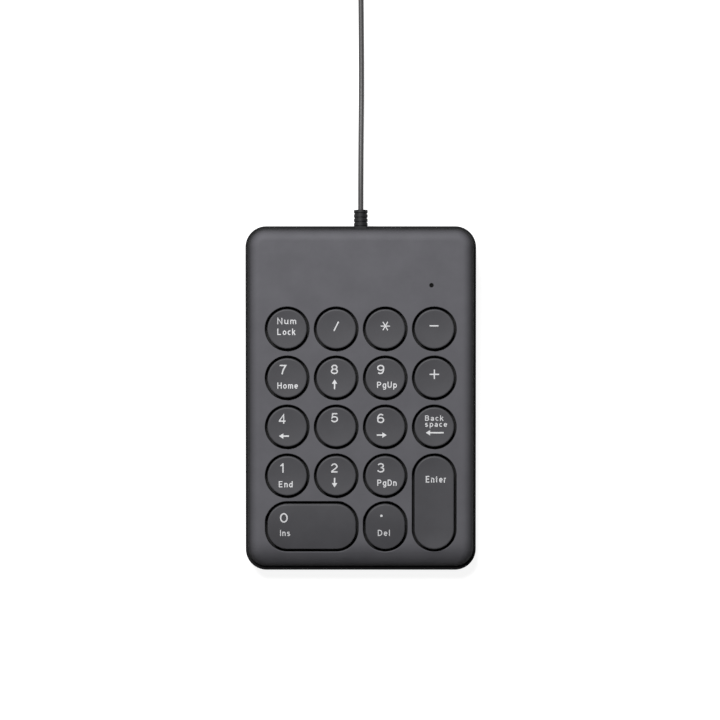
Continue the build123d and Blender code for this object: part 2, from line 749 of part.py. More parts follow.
def build():
    parts = {
        "top_case": soften_holes(top_case()),
        "bottom_case": bottom_case(),
        "rubber_feet": rubber_feet(),
        "key_frame": TO_WORLD * key_frame(),
        "dome_mat": TO_WORLD * dome_mat(),
        "membrane_top": TO_WORLD * membrane(0),
        "membrane_spacer": TO_WORLD * membrane(1),
        "membrane_bottom": TO_WORLD * membrane(2),
        "support_plate": TO_WORLD * support_plate(),
        "zero_bail": TO_WORLD * Pos(-pitch, bottom_row, 0) * bail(zero_bail_half, True),
        "enter_bail": TO_WORLD * Pos(columns[3], enter_centre, 0) * bail(enter_bail_half, False),
        "controller_board": TO_WORLD * controller_board(),
        "controller_chip": TO_WORLD * controller_chip(),
        "board_components": [TO_WORLD * piece for piece in board_components()],
        "indicator_led": TO_WORLD * indicator_led(),
        "light_pipe": TO_WORLD * light_pipe(),
        "pressure_bar": TO_WORLD * pressure_bar(),
        "pressure_pad": TO_WORLD * pressure_pad(),
        "board_header": TO_WORLD * board_header(),
        "wire_plug": TO_WORLD * wire_plug(),
        "usb_wires": [TO_WORLD * wire for wire in usb_wires()],
        "strain_relief": strain_relief(),
        "inner_cable": inner_cable(),
        "cord": tube(CORD_ROUTE, cord_diameter / 2, corner_radii(CORD_ROUTE)),
        "cord_coil": cord_coil(),
        "cord_tie": cord_tie(),
        "cord_tail": tube(TAIL_ROUTE, cord_diameter / 2, corner_radii(TAIL_ROUTE)),
        "plug_body": plug_body(),
        "plug_shell": plug_shell(),
        "plug_insulator": plug_insulator(),
        "plug_contacts": plug_contacts(),
    }
    parts["frame_screws"] = [
        TO_WORLD * screw(x, y, plate_bottom, -deck_thick - 0.3, frame_screw_shaft, 1.8, 1.1)
        for x, y in frame_screw_spots
    ]
    bar_top = board_top + film + 2.5
    board_bottom = board_top - board_thick
    parts["board_screws"] = [
        TO_WORLD * screw(x, y, seat, board_bottom - 4.0, frame_screw_shaft, 1.7, 1.1)
        for spots, seat in ((bar_screw_spots, bar_top), (board_screw_spots, board_top))
        for x, y in spots
    ]
    parts["case_screws"] = [
        screw(x, y, case_seat, 10.0, case_screw_shaft, 2.0, 1.5) for x, y in case_corners()
    ]
    parts.update(keys())
    return parts


def main():
    os.makedirs("parts", exist_ok=True)
    for name, shape in build().items():
        if isinstance(shape, (list, tuple)):
            shape = Compound(children=list(shape))
        export_step(shape, f"parts/{name}.step")
    print("cord radii", [round(radius, 1) for radius in corner_radii(CORD_ROUTE)])
    print("tail radii", [round(radius, 1) for radius in corner_radii(TAIL_ROUTE)])


main()
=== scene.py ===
"""Looks of the wired numeric keypad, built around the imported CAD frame. Metres, +Z up."""
import json
import math

import bmesh
import bpy
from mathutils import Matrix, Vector
from mathutils.bvhtree import BVHTree


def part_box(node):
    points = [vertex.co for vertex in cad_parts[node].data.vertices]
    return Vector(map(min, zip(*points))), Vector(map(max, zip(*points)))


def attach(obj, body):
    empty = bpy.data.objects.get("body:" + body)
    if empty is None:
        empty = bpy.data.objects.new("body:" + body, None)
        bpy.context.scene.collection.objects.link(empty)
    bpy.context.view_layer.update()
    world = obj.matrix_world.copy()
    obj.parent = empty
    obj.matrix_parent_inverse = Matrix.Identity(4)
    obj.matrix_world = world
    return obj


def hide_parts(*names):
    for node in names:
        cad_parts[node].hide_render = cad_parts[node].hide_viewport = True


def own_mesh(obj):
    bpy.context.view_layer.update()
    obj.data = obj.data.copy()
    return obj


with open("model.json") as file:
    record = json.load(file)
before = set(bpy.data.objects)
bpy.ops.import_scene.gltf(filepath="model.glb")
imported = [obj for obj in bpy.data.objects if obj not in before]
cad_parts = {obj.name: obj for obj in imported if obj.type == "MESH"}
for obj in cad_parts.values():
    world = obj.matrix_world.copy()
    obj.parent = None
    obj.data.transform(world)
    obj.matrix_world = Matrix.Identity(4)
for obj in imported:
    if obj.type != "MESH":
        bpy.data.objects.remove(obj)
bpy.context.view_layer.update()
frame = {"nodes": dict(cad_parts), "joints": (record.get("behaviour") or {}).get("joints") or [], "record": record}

NODES = frame["nodes"]
MM = 0.001

# ---------------------------------------------------------------------------
# Places read from the frame
# ---------------------------------------------------------------------------

PRESS = {joint["child"]: joint for joint in frame["joints"] if joint["name"].endswith("_press")}
DECK_UP = Vector(PRESS["key_5_body"]["axis"]).normalized()
DECK_RIGHT = Vector((1, 0, 0))
DECK_REAR = DECK_UP.cross(DECK_RIGHT).normalized()
KEYS = sorted(name for name in NODES if name.startswith("key_") and name != "key_frame")


def middle(node):
    low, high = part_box(node)
    return (Vector(low) + Vector(high)) / 2


# ---------------------------------------------------------------------------
# Camera
# ---------------------------------------------------------------------------

CAMERA_DISTANCE = 1.5
CAMERA_TILT = math.radians(2.0)       # off the vertical, from the user's side
VIEW_WIDTH = 0.2791                   # what the frame spans at the deck
CAMERA_AIM = Vector((-0.0003, 0.0147, 0.0182))


def make_camera():
    data = bpy.data.cameras.new("camera")
    data.sensor_width = 36.0
    data.lens = data.sensor_width * CAMERA_DISTANCE / VIEW_WIDTH
    data.clip_start, data.clip_end = 0.05, 20.0
    camera = bpy.data.objects.new("camera", data)
    bpy.context.scene.collection.objects.link(camera)
    back = Vector((0, -math.sin(CAMERA_TILT), math.cos(CAMERA_TILT)))
    camera.location = CAMERA_AIM + back * CAMERA_DISTANCE
    camera.rotation_euler = (CAMERA_TILT, 0, 0)
    bpy.context.scene.camera = camera


# ---------------------------------------------------------------------------
# Materials
# ---------------------------------------------------------------------------

def new_material(name):
    material = bpy.data.materials.new(name)
    material.use_nodes = True
    nodes = material.node_tree.nodes
    return material, nodes, material.node_tree.links, nodes["Principled BSDF"]


def noise(nodes, links, coords, scale, detail=4.0, roughness=0.5):
    texture = nodes.new("ShaderNodeTexNoise")
    texture.inputs["Scale"].default_value = scale
    texture.inputs["Detail"].default_value = detail
    texture.inputs["Roughness"].default_value = roughness
    links.new(coords, texture.inputs["Vector"])
    return texture.outputs["Fac"]


def ramp(nodes, links, factor, low, high, start=0.35, end=0.65):
    """Factor mapped between two colours (or two greys given as numbers)."""
    node = nodes.new("ShaderNodeValToRGB")
    node.color_ramp.elements[0].position = start
    node.color_ramp.elements[1].position = end
    for element, value in zip(node.color_ramp.elements, (low, high)):
        colour = (value,) * 3 if isinstance(value, float) else value
        element.color = (*colour, 1.0)
    links.new(factor, node.inputs["Fac"])
    return node.outputs["Color"]


def shade(colour, factor):
    return tuple(min(1.0, channel * factor) for channel in colour)


def bump(nodes, links, height, strength, distance):
    node = nodes.new("ShaderNodeBump")
    node.inputs["Strength"].default_value = strength
    node.inputs["Distance"].default_value = distance
    links.new(height, node.inputs["Height"])
    return node.outputs["Normal"]


def multiply(nodes, links, colour, tint):
    node = nodes.new("ShaderNodeMix")
    node.data_type = "RGBA"
    node.blend_type = "MULTIPLY"
    node.inputs["Factor"].default_value = 1.0
    links.new(colour, node.inputs["A"])
    links.new(tint, node.inputs["B"])
    return node.outputs["Result"]


MOTTLE = 90.0                         # scale of the slow change of colour over a moulding
GRAIN_STRENGTH = 0.35
GLOSS_SPREAD = 0.06                   # how far the roughness wanders either way
SHADE_UPRIGHT, SHADE_LEVEL = 0.4, 0.99            # upward parts of the normal where the painted shade is deepest, and where it ends at full colour


def grained(name, colour, roughness, grain, depth, spread, specular=0.5, painted_wall_shade=1.0):
    """Moulded plastic or rubber: spark-eroded grain, faint mottling and a little unevenness in its gloss.

    A share under 1 paints shade into the colour: full colour on level faces, falling to that share on upright
    ones, as painted shade on the rolled edges and walls.
    """
    material, nodes, links, shader = new_material(name)
    place = nodes.new("ShaderNodeTexCoord")
    coords = place.outputs["Object"]
    patches = noise(nodes, links, coords, MOTTLE, 6.0, 0.6)
    paint = ramp(nodes, links, patches, shade(colour, 1 - spread), shade(colour, 1 + spread))
    # painted shade: the colour darkens as the face turns from level to upright, standing in for shade on rolled
    # edges and walls
    if painted_wall_shade < 1.0:
        split = nodes.new("ShaderNodeSeparateXYZ")
        links.new(place.outputs["Normal"], split.inputs["Vector"])
        painted_shade = ramp(nodes, links, split.outputs["Z"], painted_wall_shade, 1.0, SHADE_UPRIGHT, SHADE_LEVEL)
        paint = multiply(nodes, links, paint, painted_shade)
    links.new(paint, shader.inputs["Base Color"])
    fine = noise(nodes, links, coords, grain, 3.0, 0.6)
    links.new(ramp(nodes, links, fine, roughness - GLOSS_SPREAD, roughness + GLOSS_SPREAD),
              shader.inputs["Roughness"])
    links.new(bump(nodes, links, fine, GRAIN_STRENGTH, depth), shader.inputs["Normal"])
    shader.inputs["Specular IOR Level"].default_value = specular
    return material


STREAK_SCALE = 1500.0
STREAK_TONES = (0.86, 1.08)           # factors on a metal's colour
STREAK_GLOSS = (-0.08, 0.1)           # what is added to its roughness
STREAK_STRENGTH = 0.2
STREAK_DEPTH = 0.00001


def metal(name, colour, roughness, brushed=(1.0, 1.0, 1.0)):
    """Plated or drawn metal: fine streaks, drawn out along the axis that brushed scales down."""
    material, nodes, links, shader = new_material(name)
    coords = nodes.new("ShaderNodeTexCoord").outputs["Object"]
    mapping = nodes.new("ShaderNodeMapping")
    mapping.inputs["Scale"].default_value = brushed
    links.new(coords, mapping.inputs["Vector"])
    streaks = noise(nodes, links, mapping.outputs["Vector"], STREAK_SCALE, 3.0, 0.6)
    tone = ramp(nodes, links, streaks, *(shade(colour, factor) for factor in STREAK_TONES))
    links.new(tone, shader.inputs["Base Color"])
    gloss = ramp(nodes, links, streaks, *(roughness + change for change in STREAK_GLOSS))
    links.new(gloss, shader.inputs["Roughness"])
    links.new(bump(nodes, links, streaks, STREAK_STRENGTH, STREAK_DEPTH), shader.inputs["Normal"])
    shader.inputs["Metallic"].default_value = 1.0
    return material


DECK_COLOUR = (0.079, 0.078, 0.086)
KEY_COLOUR = (0.0475, 0.047, 0.0515)
CASE_COLOUR = (0.0095, 0.0095, 0.01)


def make_materials():
    return {
        # the deck's colour carries painted shade on its rolled edges and walls, down to a tenth of it on upright
        # faces
        "deck_plastic": grained("deck_plastic", DECK_COLOUR, 0.65, 2300.0, 0.00004, 0.05,
                                specular=0.06, painted_wall_shade=0.1),
        "key_plastic": grained("key_plastic", KEY_COLOUR, 0.55, 2900.0, 0.00003, 0.05, specular=0.2),
        "case_plastic": grained("case_plastic", CASE_COLOUR, 0.6, 1700.0, 0.00006, 0.10, specular=0.08),
        "frame_plastic": grained("frame_plastic", (0.006, 0.006, 0.0065), 0.6, 1500.0, 0.00005, 0.10),
        "foot_rubber": grained("foot_rubber", (0.014, 0.014, 0.0145), 0.75, 1200.0, 0.00008, 0.15),
        "dome_silicone": grained("dome_silicone", (0.55, 0.57, 0.56), 0.45, 900.0, 0.00003, 0.04),
        "membrane_film": grained("membrane_film", (0.62, 0.66, 0.60), 0.2, 700.0, 0.00001, 0.05),
        "plate_steel": metal("plate_steel", (0.52, 0.53, 0.55), 0.35, (1.0, 0.03, 1.0)),
        "screw_steel": metal("screw_steel", (0.40, 0.40, 0.42), 0.32),
        "bail_steel": metal("bail_steel", (0.58, 0.58, 0.6), 0.22, (0.05, 1.0, 1.0)),
        "chip_epoxy": grained("chip_epoxy", (0.015, 0.015, 0.016), 0.6, 3000.0, 0.00003, 0.12),
        "component_ceramic": grained("component_ceramic", (0.24, 0.19, 0.13), 0.35, 2200.0, 0.00001, 0.2),
        "led_epoxy": grained("led_epoxy", (0.75, 0.72, 0.5), 0.2, 2500.0, 0.00001, 0.05),
        "bar_plastic": grained("bar_plastic", (0.03, 0.03, 0.033), 0.45, 1500.0, 0.00004, 0.10),
        "pad_rubber": grained("pad_rubber", (0.03, 0.03, 0.03), 0.85, 1300.0, 0.0001, 0.2),
        "header_nylon": grained("header_nylon", (0.66, 0.63, 0.55), 0.4, 1800.0, 0.00003, 0.05),
        "wire_jacket": grained("wire_jacket", (0.4, 0.03, 0.025), 0.4, 1800.0, 0.00001, 0.1),
        "cord_jacket": grained("cord_jacket", (0.034, 0.033, 0.033), 0.5, 1900.0, 0.00003, 0.08,
                               specular=0.4),
        "relief_rubber": grained("relief_rubber", (0.006, 0.006, 0.0065), 0.6, 1500.0, 0.00004, 0.1,
                                 specular=0.25),
        "tie_fabric": grained("tie_fabric", (0.012, 0.012, 0.012), 0.9, 2200.0, 0.0002, 0.3),
        "plug_plastic": grained("plug_plastic", (0.014, 0.014, 0.015), 0.42, 1700.0, 0.00004, 0.08),
        "shell_steel": metal("shell_steel", (0.66, 0.66, 0.67), 0.18, (1.0, 0.04, 1.0)),
        "insulator_plastic": grained("insulator_plastic", (0.02, 0.02, 0.02), 0.5, 1700.0, 0.00002, 0.1),
        "contact_gold": metal("contact_gold", (0.83, 0.6, 0.25), 0.2),
        "board_laminate": board_material(),
        "pipe_acrylic": acrylic_material(),
        "legend_ink": grained("legend_ink", (0.47, 0.47, 0.48), 0.5, 2500.0, 0.00001, 0.03),
    }


def board_material():
    """Solder mask over copper tracks: a lattice of thin lines in a lighter green."""
    material, nodes, links, shader = new_material("board_laminate")
    coords = nodes.new("ShaderNodeTexCoord").outputs["Object"]
    cells = nodes.new("ShaderNodeTexBrick")
    cells.inputs["Scale"].default_value = 260.0
    cells.inputs["Mortar Size"].default_value = 0.07
    cells.inputs["Color1"].default_value = (0.012, 0.075, 0.028, 1)
    cells.inputs["Color2"].default_value = (0.014, 0.085, 0.032, 1)
    cells.inputs["Mortar"].default_value = (0.04, 0.16, 0.055, 1)
    links.new(coords, cells.inputs["Vector"])
    links.new(cells.outputs["Color"], shader.inputs["Base Color"])
    links.new(bump(nodes, links, cells.outputs["Fac"], 0.3, 0.00003), shader.inputs["Normal"])
    shader.inputs["Roughness"].default_value = 0.28
    return material


def acrylic_material():
    material, nodes, links, shader = new_material("pipe_acrylic")
    coords = nodes.new("ShaderNodeTexCoord").outputs["Object"]
    haze = noise(nodes, links, coords, 1200.0)
    links.new(ramp(nodes, links, haze, 0.002, 0.004), shader.inputs["Base Color"])
    shader.inputs["Roughness"].default_value = 0.3
    shader.inputs["Specular IOR Level"].default_value = 0.2
    return material


def paint_nodes(materials):
    """Every CAD node takes the material of its slot in the record."""
    for entry in frame["record"]["subparts"]:
        mesh = NODES[entry["node"]].data
        mesh.materials.clear()
        mesh.materials.append(materials[entry["material_slot"]])


# ---------------------------------------------------------------------------
# Cord: the route of the CAD tubes, with the coil's turns in between
# ---------------------------------------------------------------------------

CORD_DIAMETER = 2.1 * MM
CORD_START = [
    (0.0, 0.0736, 0.009), (0.0, 0.0845, 0.009), (0.0001, 0.102, 0.0058), (0.0003, 0.122, 0.0019),
    (0.0002, 0.145, 0.0012), (0.0, 0.165, 0.0015), (0.0, 0.176, 0.0017),
]
CORD_END = [
    (0.0, 0.1925, 0.0070), (0.0004, 0.203, 0.0054), (0.0098, 0.2124, 0.0042), (0.0235, 0.2124, 0.0042),
]
COIL_CENTRE = (0.0122, 0.186)
COIL_RADIUS = 0.0122
COIL_LAYERS = (4, 3, 4, 3)            # turns in each layer, from the floor up
STRAND_PITCH = 2.17 * MM
LAYER_PITCH = STRAND_PITCH * 0.866    # each layer nests in the one below
LOWEST_TURN = 1.68 * MM
TURN_POINTS = 20
MOVE_START = 0.8                      # share of a turn after which it moves to the next place
COIL_LEAD = 0.02                      # share of a turn by which the coil starts past its left


def coil_slots():
    """Places of the turns in the bundle's section (offset from the mean radius, height), as wound."""
    slots = []
    for layer, count in enumerate(COIL_LAYERS):
        offsets = [(i - (count - 1) / 2) * STRAND_PITCH for i in range(count)]
        if layer % 2:
            offsets.reverse()
        height = LOWEST_TURN + layer * LAYER_PITCH
        slots += [(offset, height) for offset in offsets]
    return slots


def coil_points():
    """Clockwise turns that start and end at the bundle's left, each leading over to the next place."""
    points = []
    slots = coil_slots()
    for turn, (offset, height) in enumerate(slots):
        after = slots[min(turn + 1, len(slots) - 1)]
        for step in range(TURN_POINTS):
            share = step / TURN_POINTS
            move = max(0.0, (share - MOVE_START) / (1 - MOVE_START))
            radius = COIL_RADIUS + offset + (after[0] - offset) * move
            z = height + (after[1] - height) * move
            angle = math.pi - math.tau * (share + COIL_LEAD)
            x = COIL_CENTRE[0] + radius * math.cos(angle)
            y = COIL_CENTRE[1] + radius * math.sin(angle)
            points.append((x, y, z))
    return points


def make_cord(materials):
    points = CORD_START + coil_points() + CORD_END
    curve = bpy.data.curves.new("cable", "CURVE")
    curve.dimensions = "3D"
    spline = curve.splines.new("NURBS")
    spline.points.add(len(points) - 1)
    for point, place in zip(spline.points, points):
        point.co = (*place, 1.0)
    spline.order_u = 3
    spline.use_endpoint_u = True
    spline.resolution_u = 6
    curve.bevel_depth = CORD_DIAMETER / 2
    curve.bevel_resolution = 5
    curve.materials.append(materials["cord_jacket"])
    cable = bpy.data.objects.new("cable", curve)
    bpy.context.scene.collection.objects.link(cable)
    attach(cable, "housing")
    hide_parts("cord", "cord_coil", "cord_tail")


# ---------------------------------------------------------------------------
# Legends: thin pale ink that follows each key's top
# ---------------------------------------------------------------------------

INK_ABOVE = 0.05 * MM
INK_DEPTH = 0.10 * MM
PEN = 0.14                            # stroke width of a digit, as a share of its height
LETTER_GAP = 0.17                     # beyond the pen's width, as a share of the height
LEGEND_RISE = 0.42                    # of all marks on their keys, in millimetres
ARC_STEP = 15                         # degrees
WORD_PEN = 1.1                        # how much bolder a word is than a digit of its height
ARROW_SHAFT = 0.55                    # arrows, in millimetres
ARROW_HEAD_LENGTH, ARROW_HEAD_HALF = 1.7, 1.05
ARROW_LAP = 0.3                       # how far the shaft runs into the head
NARROWEST_MITRE = 0.45
RAY_START = 30 * MM                   # height over a key from which a mark is laid on it


def arc(x, y, reach_x, reach_y, start, end):
    """Points along part of an ellipse, angles in degrees."""
    count = max(2, round(abs(end - start) / ARC_STEP))
    angles = [math.radians(start + (end - start) * i / count) for i in range(count + 1)]
    return [(x + reach_x * math.cos(angle), y + reach_y * math.sin(angle)) for angle in angles]


STEM = [(0.08, 0.0), (0.08, 1.0)]
SHORT_STEM = [(0.08, 0.0), (0.08, 0.72)]
BOWL = arc(0.31, 0.36, 0.23, 0.28, 0, 360)

# Middle lines of the strokes of each letter, for a capital height of 1.
GLYPHS = {
    "0": [arc(0.37, 0.5, 0.29, 0.42, 0, 360)],
    "1": [[(0.10, 0.74), (0.24, 0.80), (0.34, 0.97)], [(0.36, 0.0), (0.36, 1.0)]],
    "2": [arc(0.36, 0.67, 0.28, 0.25, 170, -35) + [(0.12, 0.16), (0.10, 0.08), (0.69, 0.08)]],
    "3": [arc(0.36, 0.725, 0.25, 0.195, 160, -90), arc(0.36, 0.305, 0.29, 0.225, 90, -165)],
    "4": [[(0.53, 0.0), (0.53, 0.96), (0.08, 0.30), (0.08, 0.27), (0.72, 0.27)]],
    "5": [[(0.64, 0.92), (0.20, 0.92), (0.13, 0.48)] + arc(0.36, 0.34, 0.29, 0.26, 130, -160)],
    "6": [arc(0.37, 0.33, 0.28, 0.25, 0, 360), arc(0.40, 0.46, 0.31, 0.46, 50, 185)],
    "7": [[(0.06, 0.92), (0.67, 0.92), (0.42, 0.5), (0.28, 0.0)]],
    "8": [arc(0.37, 0.725, 0.24, 0.195, 0, 360), arc(0.37, 0.30, 0.29, 0.22, 0, 360)],
    "9": [arc(0.37, 0.67, 0.28, 0.25, 0, 360), arc(0.34, 0.54, 0.31, 0.46, -130, 5)],
    "B": [STEM, [(0.08, 0.92)] + arc(0.37, 0.725, 0.21, 0.195, 90, -90) + [(0.08, 0.53)],
          arc(0.38, 0.305, 0.25, 0.225, 90, -90) + [(0.08, 0.08)]],
    "D": [STEM, [(0.08, 0.92)] + arc(0.32, 0.5, 0.34, 0.42, 90, -90) + [(0.08, 0.08)]],
    "E": [STEM, [(0.08, 0.92), (0.62, 0.92)], [(0.08, 0.52), (0.58, 0.52)], [(0.08, 0.08), (0.64, 0.08)]],
    "H": [STEM, [(0.66, 0.0), (0.66, 1.0)], [(0.08, 0.52), (0.66, 0.52)]],
    "I": [STEM],
    "L": [[(0.08, 1.0), (0.08, 0.08), (0.62, 0.08)]],
    "N": [[(0.08, 0.0), (0.08, 0.97), (0.64, 0.03), (0.64, 1.0)]],
    "P": [STEM, [(0.08, 0.92)] + arc(0.38, 0.69, 0.25, 0.23, 90, -90) + [(0.08, 0.46)]],
    "U": [[(0.08, 1.0)] + arc(0.36, 0.35, 0.28, 0.27, 180, 360) + [(0.64, 1.0)]],
    "a": [arc(0.26, 0.21, 0.18, 0.14, 0, 360), arc(0.27, 0.47, 0.19, 0.18, 160, 0) + [(0.47, 0.0)]],
    "c": [arc(0.31, 0.36, 0.23, 0.28, 50, 310)],
    "d": [BOWL, [(0.53, 0.0), (0.53, 1.0)]],
    "e": [arc(0.31, 0.36, 0.23, 0.28, 0, 315), [(0.08, 0.36), (0.54, 0.36)]],
    "g": [BOWL, [(0.53, 0.72)] + arc(0.30, -0.06, 0.23, 0.15, 0, -150)],
    "k": [STEM, [(0.50, 0.72), (0.12, 0.33)], [(0.24, 0.44), (0.53, 0.0)]],
    "l": [STEM],
    "m": [SHORT_STEM, arc(0.25, 0.47, 0.17, 0.18, 180, 0) + [(0.42, 0.0)],
          arc(0.59, 0.47, 0.17, 0.18, 180, 0) + [(0.76, 0.0)]],
    "n": [SHORT_STEM, arc(0.29, 0.45, 0.21, 0.19, 180, 0) + [(0.50, 0.0)]],
    "o": [BOWL],
    "p": [arc(0.34, 0.36, 0.23, 0.28, 0, 360), [(0.11, 0.72), (0.11, -0.28)]],
    "r": [SHORT_STEM, arc(0.30, 0.40, 0.22, 0.24, 170, 75)],
    "s": [arc(0.27, 0.505, 0.18, 0.14, 35, 270) + arc(0.27, 0.22, 0.20, 0.145, 90, -150)],
    "t": [[(0.18, 0.92)] + arc(0.28, 0.18, 0.10, 0.11, 180, 280), [(0.02, 0.66), (0.34, 0.66)]],
    "u": [[(0.08, 0.72)] + arc(0.29, 0.27, 0.21, 0.19, 180, 360), [(0.50, 0.0), (0.50, 0.72)]],
}

# Each mark in millimetres from the key's middle: a word's (left, right, base line, capital height),
# a stroke's (start, end, width), an arrow's (tail, tip) and a dot's (x, y, radius).
LEGENDS = {
    "key_num_lock": [("word", "Num", -3.8, 3.5, 1.6, 2.4), ("word", "Lock", -3.8, 3.3, -2.6, 2.5)],
    "key_divide": [("stroke", (-0.9, -1.0), (0.9, 2.55), 0.5)],
    "key_multiply": [("stroke", (-1.8, 0.85), (1.8, 0.85), 0.38),
                     ("stroke", (-0.95, -0.8), (0.95, 2.5), 0.38),
                     ("stroke", (-0.95, 2.5), (0.95, -0.8), 0.38)],
    "key_minus": [("stroke", (-1.85, 0.95), (1.6, 0.95), 0.5)],
    "key_plus": [("stroke", (-1.85, 1.15), (1.85, 1.15), 0.5), ("stroke", (0.0, -0.7), (0.0, 3.0), 0.5)],
    "key_7": [("word", "7", -3.15, -0.25, 1.15, 3.75), ("word", "Home", -3.8, 4.2, -4.4, 2.4)],
    "key_8": [("word", "8", -2.1, 0.7, 1.2, 3.75), ("arrow", (-0.65, -4.6), (-0.65, -0.8))],
    "key_9": [("word", "9", -3.2, -0.4, 1.15, 3.75), ("word", "PgUp", -3.2, 4.5, -4.1, 2.4)],
    "key_4": [("word", "4", -3.3, -0.4, 1.0, 3.7), ("arrow", (0.7, -3.8), (-3.2, -3.8))],
    "key_5": [("word", "5", -2.1, 0.7, 1.5, 3.7)],
    "key_6": [("word", "6", -3.2, -0.4, 1.2, 3.75), ("arrow", (-3.3, -3.4), (0.55, -3.4))],
    "key_1": [("word", "1", -2.9, -1.4, 1.0, 3.6), ("word", "End", -3.3, 2.1, -4.7, 2.4)],
    "key_2": [("word", "2", -2.05, 0.7, 1.0, 3.65), ("arrow", (-0.65, -1.0), (-0.65, -4.75))],
    "key_3": [("word", "3", -3.15, -0.35, 1.0, 3.75), ("word", "PgDn", -3.1, 4.4, -4.1, 2.4)],
    "key_0": [("word", "0", -12.35, -9.3, 1.2, 3.85), ("word", "Ins", -12.3, -8.4, -4.0, 2.4)],
    "key_decimal": [("dot", -1.5, 3.9, 0.48), ("word", "Del", -2.9, 1.8, -3.95, 2.4)],
    "key_backspace": [("word", "Back", -3.6, 3.6, 2.15, 2.1), ("word", "space", -3.6, 5.0, -0.2, 2.1),
                      ("arrow", (3.6, -2.5), (-3.3, -2.5))],
    "key_enter": [("word", "Enter", -3.3, 4.7, 7.5, 2.6)],
}


def ribbon(points, width):
    """Flat band of even width along a line, mitred at its corners."""
    points = [Vector(point) for point in points]
    closed = (points[0] - points[-1]).length < 1e-6
    left, right = [], []
    for i, point in enumerate(points):
        before = points[i - 1] if i else (points[-2] if closed else None)
        after = points[i + 1] if i + 1 < len(points) else (points[1] if closed else None)
        headings = [(b - a).normalized() for a, b in ((before, point), (point, after)) if a and b]
        heading = sum(headings, Vector((0, 0))).normalized()
        side = Vector((-heading.y, heading.x))
        lean = max(NARROWEST_MITRE, side.dot(Vector((-headings[0].y, headings[0].x))))
        left.append(point + side * width / 2 / lean)
        right.append(point - side * width / 2 / lean)
    count = len(points)
    mesh = bpy.data.meshes.new("mark")
    quads = [(i, i + 1, count + i + 1, count + i) for i in range(count - 1)]
    mesh.from_pydata([(*spot, 0) for spot in left + right], [], quads)
    return mesh


def word_meshes(text, left, right, base, capital):
    """Strokes of a word, spread so that it reaches from left to right."""
    strokes, reach = [], 0.0
    for letter in text:
        glyph = GLYPHS[letter]
        strokes += [[(x + reach, y) for x, y in stroke] for stroke in glyph]
        reach += max(x for stroke in glyph for x, y in stroke) + PEN + LETTER_GAP
    low = min(x for stroke in strokes for x, y in stroke)
    high = max(x for stroke in strokes for x, y in stroke)
    pen = PEN * capital * (1.0 if len(text) == 1 else WORD_PEN)
    across = (right - left - pen) / max(high - low, 0.01)
    return [ribbon([(left + pen / 2 + (x - low) * across, base + y * capital) for x, y in stroke], pen)
            for stroke in strokes]


def arrow_meshes(tail, tip):
    """A shaft and a filled head."""
    along = (Vector(tip) - Vector(tail)).normalized()
    side = Vector((-along.y, along.x))
    neck = Vector(tip) - along * ARROW_HEAD_LENGTH
    wing = side * ARROW_HEAD_HALF
    head = bpy.data.meshes.new("mark")
    head.from_pydata([(*spot, 0) for spot in (tip, neck + wing, neck - wing)], [], [(0, 1, 2)])
    return [ribbon([tail, tuple(neck + along * ARROW_LAP)], ARROW_SHAFT), head]


def mark_meshes(kind, *facts):
    if kind == "word":
        return word_meshes(*facts)
    if kind == "stroke":
        start, end, width = facts
        return [ribbon([start, end], width)]
    if kind == "dot":
        x, y, radius = facts
        return [ribbon(arc(x, y, radius / 2, radius / 2, 0, 360), radius)]
    return arrow_meshes(*facts)


def make_legend(key, materials):
    """All marks of a key as one thin piece, laid on the key's own surface."""
    whole = bmesh.new()
    for mark in LEGENDS[key]:
        for flat in mark_meshes(*mark):
            whole.from_mesh(flat)
            bpy.data.meshes.remove(flat)
    bmesh.ops.triangulate(whole, faces=whole.faces[:])
    cut = bmesh.ops.extrude_face_region(whole, geom=whole.faces[:])
    lifted = {item for item in cut["geom"] if isinstance(item, bmesh.types.BMVert)}
    centre = middle(key)
    surface = BVHTree.FromObject(NODES[key], bpy.context.evaluated_depsgraph_get())
    for vertex in whole.verts:
        spot = centre + DECK_RIGHT * vertex.co.x * MM + DECK_REAR * (vertex.co.y + LEGEND_RISE) * MM
        hit = surface.ray_cast(spot + DECK_UP * RAY_START, -DECK_UP)[0]
        raised = INK_ABOVE if vertex in lifted else INK_ABOVE - INK_DEPTH
        vertex.co = hit + DECK_UP * raised
    bmesh.ops.recalc_face_normals(whole, faces=whole.faces[:])
    mesh = bpy.data.meshes.new("legend_" + key.removeprefix("key_"))
    whole.to_mesh(mesh)
    whole.free()
    mesh.materials.append(materials["legend_ink"])
    legend = bpy.data.objects.new("legend_" + key.removeprefix("key_"), mesh)
    bpy.context.scene.collection.objects.link(legend)
    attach(legend, key + "_body")


def make_legends(materials):
    for key in KEYS:
        make_legend(key, materials)


# ---------------------------------------------------------------------------
# Dome mat: a silicone sheet, and a dome under each key
# ---------------------------------------------------------------------------

DECK_MIDDLE = Vector((0, 0, 18.2 * MM))
MAT_TOP = -9.0                        # heights and places in millimetres from the deck's middle
MAT_THICK = 0.45
MAT_HALF_WIDTH = 39.0
MAT_FRONT, MAT_REAR = -60.0, 36.5
MAT_CORNER = 9.0
PITCH = 19.0
SCREW_HOLES = [(x, y) for x in (-PITCH, 0, PITCH) for y in (17.2, -1.8, -20.8)] + [(0, -40.15)]
SCREW_HOLE_RADIUS = 1.4
DOME_OPENING = 3.9
